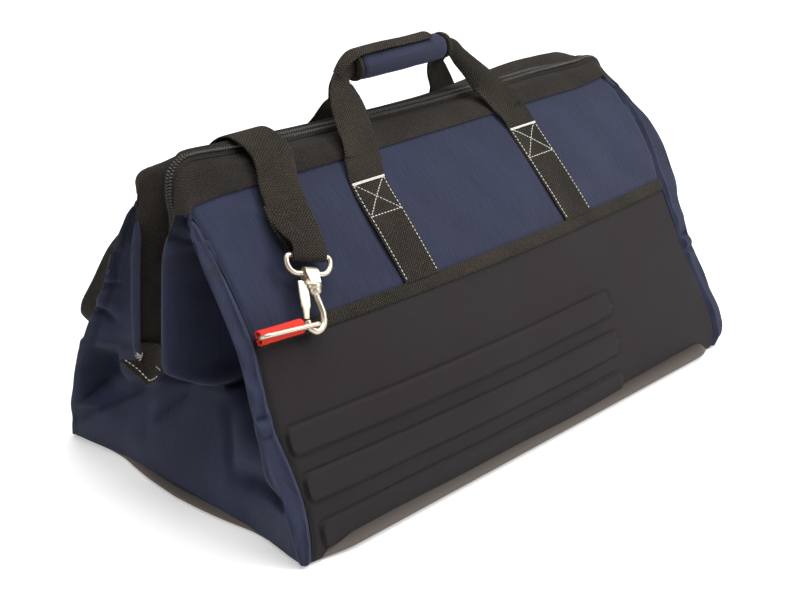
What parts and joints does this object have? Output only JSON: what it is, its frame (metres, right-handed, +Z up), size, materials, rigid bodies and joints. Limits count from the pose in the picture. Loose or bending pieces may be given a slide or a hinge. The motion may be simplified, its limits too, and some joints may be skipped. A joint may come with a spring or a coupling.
{
  "type": "tool bag",
  "caption": "Stuffed zipped tool holdall with moulded lower walls, folded end gussets, webbing handles under a wrapped grip, and a shoulder strap clipped to a ring by a sprung hook.",
  "frame": {"origin": "middle of the base's underside, on the ground", "axes": "+X along the bag to its right end, -Y to the front with the hook, +Z up"},
  "size_m": [0.6326, 0.337, 0.3347],
  "materials": {
    "navy_cloth": "matte woven polyester",
    "armour": "matte moulded laminate",
    "twill": "matte twill",
    "webbing": "matte woven webbing",
    "zip_coil": "satin nylon coil",
    "red_webbing": "satin woven tape",
    "plated_steel": "satin plated"
  },
  "bodies": {
    "bag": {"front_panel": "navy_cloth", "back_panel": "navy_cloth", "gusset_left": "navy_cloth", "gusset_right": "navy_cloth", "grip": "navy_cloth", "front_armour": "armour", "back_armour": "armour", "base_panel": "twill", "front_tape": "twill", "back_tape": "twill", "front_binding": "webbing", "back_binding": "webbing", "zip_tab_left": "webbing", "zip_tab_right": "webbing", "handle_front": "webbing", "handle_back": "webbing", "grip_end_left": "webbing", "grip_end_right": "webbing", "grip_edge": "webbing", "shoulder_strap": "webbing", "zip": "zip_coil", "tab_front": "red_webbing", "tab_back": "red_webbing", "hook_loop": "plated_steel", "hook_eye": "plated_steel", "hook_body": "plated_steel", "ring_front": "plated_steel", "ring_back": "plated_steel", "link_back": "plated_steel"},
    "gate": {"hook_gate": "plated_steel"}
  },
  "joints": [
    {"name": "gate_hinge", "type": "hinge", "parent": "bag", "child": "gate", "pos_m": [-0.21891, -0.08657, 0.18407], "axis": [-0.0505, -0.8508, 0.5231], "range_deg": [0, 20], "stiffness_Nm_per_rad": 0.2, "springref_deg": -8.59}
  ]
}
